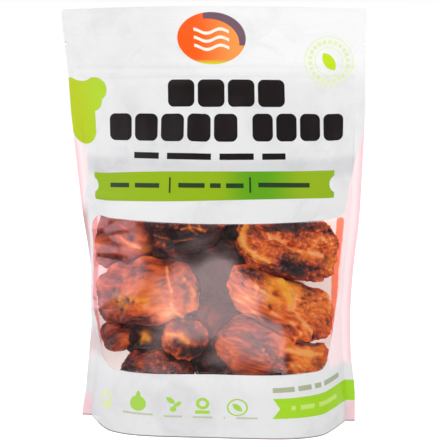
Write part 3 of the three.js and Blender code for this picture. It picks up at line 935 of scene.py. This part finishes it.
FISH = {
    "fish_mid_left": fish_look(
        turn=-7, toast=0.5, torn=0.05, fibre=0.4, crumb=4.6,
        patches=[
            (-47, 116, 21, 8, 0.1, 0.12), (-40, 98, 19, 6, 0.36, 0), (-56, 106, 17, 3, 0.1, 0.7),
            (-68, 101, 7, 5, 0, 0.7), (-86, 98, 11, 14, -0.16, 0), (-50, 85, 46, 5, -0.34, 0),
            (-70, 119, 6, 9, -0.14, 0), (-10, 108, 6, 7, 0.05, 0.5), (-16, 112, 12, 14, 0.06, 0),
        ],
        ridges=[
            ([(-32, 131), (-30, 122), (-28, 113)], 1.3, 2, 0.1),
            ([(-29, 104), (-26, 98), (-21, 93)], 1.2, 1.8, 0.1),
            ([(-19, 122), (-14, 117), (-11, 110)], 1.4, 1.6, 0.1),
        ],
        pits=[(-64, 104, 2.2, 2.2), (-69, 95, 1.8, 1.6), (-58, 103, 1.2, 1.2), (-72, 101, 1, 1)]),
    "fish_top_right": fish_look(
        turn=18, toast=0.55, torn=0.85, fibre=0.7, crumb=3,
        patches=[
            (38, 144, 15, 6, 0.16, 0.05), (78, 145, 14, 9, 0.12, 0), (58, 161, 28, 6, -0.36, 0),
            (58, 137, 13, 4, -0.12, 0), (60, 128, 20, 6, -0.36, 0), (24, 156, 3.5, 12, 0.3, 0.5),
            (92, 131, 6, 5, 0.1, 0.45), (70, 139, 10, 3, 0.05, 0.3),
        ],
        ridges=[
            ([(25, 165), (24, 155), (26, 147), (31, 141), (44, 136)], 2, 2.4, 0.6),
            ([(37, 157), (50, 153), (61, 147)], 2, -3.2, 0),
            ([(60, 145), (72, 141), (84, 137)], 1.5, 1.2, 0),
        ],
        pits=[(58, 130, 6, 5), (61, 148, 2.6, 3.4)]),
    "fish_mid_right": fish_look(
        turn=26, toast=0.56, torn=0.2, fibre=0.9, crumb=3.4,
        patches=[
            (58, 116, 13, 10, 0.2, 1), (47, 112, 7, 9, 0.24, 0.9), (18, 119, 11, 6, 0.06, 0),
            (30, 108, 18, 5, 0.1, 0), (36, 130, 12, 7, -0.4, 0), (80, 98, 17, 9, 0.26, 0.2),
            (75, 111, 8, 4, -0.1, 0), (86, 82, 12, 4, -0.14, 0), (46, 90, 16, 5, -0.24, 0),
        ],
        ridges=[
            ([(67, 95), (71, 87), (76, 80)], 1.6, 1.8, 0.5),
            ([(53, 122), (57, 112), (61, 104)], 2, 1.6, 0.9),
            ([(40, 102), (54, 95), (64, 88)], 1.6, -1.8, 0),
            ([(64, 110), (62, 100), (70, 92)], 1.6, -1.6, 0),
        ],
        pits=[(51, 112, 3.2, 5), (45, 102, 2, 2.2), (24, 119, 1.6, 1.2)]),
    "fish_low_right": fish_look(
        turn=14, toast=0.4, torn=0.2, fibre=0.6, crumb=3.2,
        patches=[
            (12, 72, 12, 9, 0.12, 0), (74, 62, 14, 14, 0.34, 0.4), (58, 66, 4, 4, -0.14, 0),
            (68, 50, 7, 5, -0.16, 0), (40, 64, 18, 5, 0.1, 0), (34, 80, 22, 3, -0.2, 0),
        ],
        ridges=[
            ([(58, 70), (70, 66), (84, 62)], 1.8, 1.4, 0.3),
            ([(54, 67), (61, 59), (69, 50)], 2, -2.2, 0),
        ],
        pits=[(60, 61, 2.6, 2.6)]),
    "fish_top_left": fish_look(
        turn=12, toast=0.46, torn=0.05, fibre=0.2, crumb=4.6,
        patches=[
            (-68, 147, 14, 4, 0.2, 0), (-46, 152, 5, 15, -0.35, 0), (-49, 141, 4, 5, 0.3, 0.5),
            (-78, 158, 14, 8, -0.06, 0), (-58, 132, 12, 5, -0.2, 0),
        ],
        ridges=[([(-74, 151), (-62, 146), (-54, 143)], 1.8, 1.2, 0)],
        pits=[(-60, 150, 3, 1.5)]),
    "fish_low_middle": fish_look(
        turn=16, toast=0.46, torn=0.7, fibre=0.3, crumb=3.1,
        patches=[(-33, 79, 6, 4, 0.24, 0.1), (-20, 78, 5, 4, 0.06, 0.6), (-12, 66, 10, 4, -0.4, 0)],
        ridges=[([(-30, 81), (-22, 81), (-16, 75)], 1.4, 1.4, 0.4)],
        pits=[(-25, 77, 2, 2.4)]),
    "fish_low_left": fish_look(
        turn=-24, toast=0.36, torn=0.2, fibre=0.3, crumb=4,
        patches=[(-68, 74, 6, 5, 0.1, 0), (-78, 68, 5, 6, -0.16, 0)]),
    "fish_foot_left": fish_look(
        turn=2, toast=0.3, torn=0.8, fibre=0.3, crumb=3,
        patches=[(-38, 56, 16, 4, 0.16, 0), (-64, 54, 8, 5, -0.1, 0)], pits=[(-46, 54, 3, 2)]),
    "fish_low_behind": fish_look(
        turn=10, toast=0.16, torn=0.5, fibre=0.3, crumb=3.6,
        patches=[(-50, 73, 4, 4, 0.75, 0.8), (-58, 74, 5, 3, 0.35, 0)],
        ridges=[([(-53, 71), (-50, 75), (-48, 72)], 2.4, 3, 0.7)]),
    "fish_top_middle": fish_look(
        turn=-10, toast=0.13, torn=0.9, fibre=0.4, crumb=3.2,
        patches=[(-18, 158, 9, 7, 0.12, 0), (-36, 158, 8, 5, 0.12, 0)],
        ridges=[
            ([(-17, 166), (-15, 159), (-10, 155)], 0.9, 1.4, 0.3),
            ([(-22, 158), (-13, 160), (-4, 157)], 0.8, 1.2, 0.3),
            ([(-10, 164), (-7, 158)], 0.8, 1.2, 0.25),
            ([(-42, 152), (-26, 149), (-14, 151)], 0.8, 1, 0.2),
        ],
        pits=[(-30, 152, 4, 3)]),
    # fish_core_upper, fish_core_lower and fish_back_top lie deep in the pouch: their very low toast is
    # painted shade that makes them nearly black
    "fish_core_upper": fish_look(turn=60, toast=0.04, torn=0.4, fibre=0.3, crumb=3.6),
    "fish_core_lower": fish_look(
        turn=-60, toast=0.12, torn=0.6, fibre=0.3, crumb=3.4, patches=[(15, 56, 4, 3, 0.5, 0)]),
    "fish_back_top": fish_look(turn=-20, toast=0.04, torn=0.5, fibre=0.3, crumb=3.6),
}
VOXEL = 1.15
CLEARANCE = 0.35  # between the flesh and the film
DEEPEST_DENT = 5.0  # the film's relief is worked out for flesh that is nearer to it than this
SIDE_LIMIT = 0.972  # the share of the way to the welds that flesh can reach


def line_distance(x, z, line):
    """The distance in the front view from a point to a line of points."""
    nearest = math.inf
    for (ax, az), (bx, bz) in zip(line, line[1:]):
        t = ((x - ax) * (bx - ax) + (z - az) * (bz - az)) / ((bx - ax) ** 2 + (bz - az) ** 2)
        t = min(1.0, max(0.0, t))
        nearest = min(nearest, math.hypot(x - ax - t * (bx - ax), z - az - t * (bz - az)))
    return nearest


def streaks(place, sizes, start):
    """Smooth noise around 0, stretched to the given sizes."""
    return noise.noise(Vector([along_axis / size for along_axis, size in zip(place, sizes)]) + start)


def flesh_at(look, seed, place, normal):
    """(millimetres outwards, toast, gold) at a point of a fish piece. The colour numbers carry painted light
    and shade that follow the relief: lighter on lumps and ridges, darker in creases, pits and the cracks
    between crumbs.
    """
    x, z = place.x, place.z
    turn = math.radians(look["turn"])
    across, up = x * math.cos(turn) - z * math.sin(turn), x * math.sin(turn) + z * math.cos(turn)
    drawn = Vector((across, place.y, up))
    start = Vector((seed * 17.3, seed * 5.1, -seed * 9.7))
    bent = drawn + 3.2 * noise.noise_vector(drawn / 13 + start)

    lumps = noise.fractal(bent / 21 + start, 0.9, 2.0, 3)
    ridge = 1 - 2 * abs(streaks(bent, (34, 17, 13), -start))
    crease = 1 - smoothstep(0.0, 0.13, abs(streaks(bent, (38, 15, 8.5), start)))
    fibre = streaks(bent, (15, 2.6, 2.1), -start)
    strand = look["fibre"] * (1 - smoothstep(0.0, 0.2, abs(streaks(drawn, (26, 6, 3.4), start))))
    wrinkle = streaks(bent, (5.5, 2.6, 3.2), start)
    fleshy = smoothstep(-0.3, 0.25, noise.noise(drawn / 17 - start) + look["torn"] - 0.5)
    distances, points = noise.voronoi(bent / look["crumb"] + start)
    crumb = smoothstep(0.0, 0.5, distances[1] - distances[0])
    tone = noise.cell(points[0] * 9.1)

    out = 2.6 * lumps + 2.6 * (ridge - 0.7) - 0.8 * crease + 0.3 * wrinkle
    out += 0.5 * fibre * look["fibre"] + 0.7 * strand
    out += fleshy * (0.5 * (crumb - 0.6) + 0.35 * (tone - 0.5))
    mottle = 0.5 + 0.5 * look["torn"]
    # Painted light and shade: the flesh is made lighter on lumps and ridges and darker in creases, following
    # its relief
    toast = look["toast"] + mottle * (0.3 * lumps + 0.3 * (ridge - 0.7)) - 0.05 * crease + 0.08 * wrinkle
    toast += 0.3 * fibre * look["fibre"] + 0.2 * strand
    # Painted shade: the cracks between crumbs are made darker, and the crumbs' tones differ at random
    toast += fleshy * (0.16 * (crumb - 0.6) + 0.16 * (tone - 0.5))
    gold = 0.0
    front = smoothstep(-0.1, 0.45, -normal.y)
    if front > 0:
        ragged = 1 + 0.4 * noise.noise(place / 5 + start)
        uneven = 1 + 0.3 * noise.noise(place / 3 + start)
        # Patches paint light and shade as well as the flesh's colour, on faces towards the front
        for px, pz, half_x, half_z, add_toast_and_shade, add_gold_and_highlight in look["patches"]:
            near = front * bell(math.hypot((x - px) / half_x, (z - pz) / half_z) * ragged, 0.95)
            toast += add_toast_and_shade * near
            gold += add_gold_and_highlight * near
        # Painted highlight: ridges are made lighter and gold along their crests
        for line, width, high, add_gold_and_highlight in look["ridges"]:
            near = front * bell(line_distance(x, z, line) * uneven, width)
            out += high * near
            toast += 0.4 * near
            gold += add_gold_and_highlight * near
        # Painted shade: pits are made darker in their hollows
        for px, pz, radius, depth in look["pits"]:
            near = front * bell(math.hypot(x - px, z - pz) * uneven, radius)
            out -= depth * near
            toast -= 0.45 * near
            gold *= 1 - near
    gold *= 0.75 + 0.5 * (crumb - 0.5)
    return out, min(1.0, max(0.0, toast)), min(1.0, max(0.0, gold))


def held_in(place):
    """The place, in millimetres, moved back inside the film where it would stand out of it."""
    x, y, z = place
    middle = along(LEAN, z)
    end = math.copysign(1, x - middle)
    inner = inner_half_width(end, z)
    # The film's kink at the top of the left weld keeps flesh further in
    left_limit = SIDE_LIMIT - 0.07 * bell(z - 168, 14)
    share = min(SIDE_LIMIT, max(-left_limit, (x - middle) / inner))
    side = math.copysign(1, y)
    a = end * PANEL_HALF * interpolate(abs(share), *arc_table(end, z))
    film = WELD + bulge(share, z)
    room = film - FILM - CLEARANCE * (1 + 2 * share**8)
    if abs(y) > room - DEEPEST_DENT:
        room += min(0.0, max(film_relief(a, z, side), -DENT_SHARE * film))
    return Vector((middle + share * inner, side * min(abs(y), room), z))


def modified(piece):
    """The piece's mesh with its modifiers worked in, and the modifiers gone."""
    mesh = bpy.data.meshes.new_from_object(piece.evaluated_get(bpy.context.evaluated_depsgraph_get()))
    old = piece.data
    piece.modifiers.clear()
    piece.data = mesh
    bpy.data.meshes.remove(old)


def even_piece(node):
    """The node's solid with rounded edges and small even faces."""
    bm = bmesh.new()
    bm.from_mesh(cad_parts[node].data)
    bmesh.ops.remove_doubles(bm, verts=bm.verts, dist=1e-7)
    bmesh.ops.scale(bm, vec=(1 / MM, 1 / MM, 1 / MM), verts=bm.verts)
    piece = as_object("dried_" + node, bm, [])
    remesh = piece.modifiers.new("even", "REMESH")
    remesh.mode = "VOXEL"
    remesh.voxel_size = VOXEL * MM
    relax = piece.modifiers.new("relax", "SMOOTH")
    relax.factor = 0.5
    relax.iterations = 6
    finer = piece.modifiers.new("finer", "SUBSURF")
    finer.levels = finer.render_levels = 1
    modified(piece)
    return piece


def make_fish(node, look, seed, material):
    piece = even_piece(node)
    bm = bmesh.new()
    bm.from_mesh(piece.data)
    # The flesh's colour numbers, with their painted light and shade, are kept on its points
    toast_and_shade_layer = bm.verts.layers.float.new("toast")
    gold_and_highlight_layer = bm.verts.layers.float.new("gold")
    bm.normal_update()
    outwards = []
    for v in bm.verts:
        out, toast, gold = flesh_at(look, seed, v.co / MM, v.normal)
        outwards.append(out)
        v[toast_and_shade_layer] = toast
        v[gold_and_highlight_layer] = gold
    for v, out in zip(bm.verts, outwards):
        v.co = held_in(v.co / MM + v.normal * out) * MM
    for face in bm.faces:
        face.smooth = True
    bm.to_mesh(piece.data)
    bm.free()
    piece.data.materials.append(material)
    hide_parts(node)
    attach(piece, "root")


# Studio

CAMERA_AZIMUTH, CAMERA_ELEVATION = 4.06, 8.89
CAMERA_DISTANCE = 0.8622
CAMERA_TARGET = Vector((0.0081, 0, 0.159))
CAMERA_LENS, CAMERA_SENSOR = 90.55, 36.0


def towards(azimuth, elevation):
    """A unit vector from the pouch, azimuth 0 being straight in front and 90 to the right."""
    a, e = math.radians(azimuth), math.radians(elevation)
    return Vector((math.sin(a) * math.cos(e), -math.cos(a) * math.cos(e), math.sin(e)))


def make_camera():
    camera = bpy.data.objects.new("camera", bpy.data.cameras.new("camera"))
    bpy.context.scene.collection.objects.link(camera)
    camera.data.lens = CAMERA_LENS
    camera.data.sensor_width = CAMERA_SENSOR
    back = towards(CAMERA_AZIMUTH, CAMERA_ELEVATION)
    camera.location = CAMERA_TARGET + back * CAMERA_DISTANCE
    camera.rotation_euler = (-back).to_track_quat("-Z", "Y").to_euler()
    bpy.context.scene.camera = camera


def soft_light(name, azimuth, elevation, distance, size, power):
    """A wide white light that points at the pouch and isn't mirrored in it."""
    light = bpy.data.objects.new(name, bpy.data.lights.new(name, "AREA"))
    bpy.context.scene.collection.objects.link(light)
    light.data.shape = "RECTANGLE"
    light.data.size, light.data.size_y = size
    light.data.energy = power
    back = towards(azimuth, elevation)
    light.location = CAMERA_TARGET + back * distance
    light.rotation_euler = back.to_track_quat("Z", "Y").to_euler()
    light.visible_glossy = False


def make_floor():
    """A pale floor, with a glow that takes it up to the white of the surroundings."""
    bm = bmesh.new()
    bmesh.ops.create_grid(bm, x_segments=1, y_segments=1, size=4000)
    paint = Paint("pale floor", Roughness=0.9, Emission_Color=(1, 1, 1, 1), Emission_Strength=0.56)
    paint.feed("Base Color", (0.93, 0.93, 0.93, 1))
    floor = as_object("floor", bm, [paint.material])
    floor.visible_glossy = False


class World(Paint):
    """The studio's surroundings, under construction in the same way as a material."""

    def __init__(self, name):
        made = bpy.data.worlds.new(name)
        made.use_nodes = True
        bpy.context.scene.world = made
        self.tree = made.node_tree
        self.shader = self.tree.nodes["Background"]


# How bright the surroundings are to the camera, as light on surfaces, and in mirror images
WORLD_SEEN, WORLD_LIGHT = 1.0, 0.5
TABLE_GLOW, DARK_GLOW, BEHIND_GLOW, LAMP_GLOW = 2.5, 0.1, 1.8, 5.0
BEHIND_TINT = (0.92, 0.86, 1.0)


def make_world():
    """White for the camera and soft for lit surfaces.

    Reflections see a bright table in front of the pouch, white behind its left side, two soft
    boxes and an otherwise dark room.
    """
    world = World("studio")
    seen = world.node("ShaderNodeLightPath", {}, {}, "Is Camera Ray")
    mirrored = world.node("ShaderNodeLightPath", {}, {}, "Is Glossy Ray")
    direction = world.node("ShaderNodeTexCoord", {}, {}, "Generated")
    x, y, z = world.node("ShaderNodeSeparateXYZ", {}, [direction], (0, 1, 2))
    azimuth = x.math("ARCTAN2", 0.0 - y) * (180 / math.pi)
    rise = z.math("ARCSINE") * (180 / math.pi)
    reach = ((8 - 2.3 * rise) | (-5 - 5 * rise)) & 46.0
    table = (1 - rise.between(2, 8)) * rise.between(-24, -10)
    table = table * (1 - (azimuth - reach).between(-6, 2)) * azimuth.between(-58, -22)
    behind = 1 - (azimuth - 4 * (rise & 1.0)).between(-66, -52) * (1 - azimuth.between(105, 120))
    left_box = azimuth.between(-76, -70) * (1 - azimuth.between(-52, -46)) * rise.between(20, 26)
    right_box = azimuth.between(58, 64) * (1 - azimuth.between(78, 84)) * rise.between(8, 14)
    boxes = (left_box | right_box) * (1 - rise.between(50, 60))
    above = rise.between(66, 76)
    glow = DARK_GLOW + table * (TABLE_GLOW - DARK_GLOW) + behind * (BEHIND_GLOW - DARK_GLOW)
    glow = glow + boxes * LAMP_GLOW + above * (0.5 * LAMP_GLOW)
    light = mirrored * (glow - WORLD_LIGHT) + WORLD_LIGHT
    world.feed("Strength", seen * WORLD_SEEN + (1 - seen) * light)
    world.feed("Color", world.mix(mirrored * behind, (1.0, 1.0, 1.0), BEHIND_TINT))


bpy.context.scene.view_settings.view_transform = "Standard"
make_camera()
make_world()
make_floor()
soft_light("key", azimuth=-28, elevation=58, distance=1.5, size=(1.1, 0.8), power=9)
soft_light("fill", azimuth=42, elevation=30, distance=1.6, size=(0.9, 0.9), power=2.5)
soft_light("back", azimuth=190, elevation=40, distance=1.6, size=(1.0, 0.8), power=4)
make_film()
make_gusset()
flesh = fish_flesh()
for number, (node, look) in enumerate(FISH.items()):
    make_fish(node, look, number + 1, flesh)
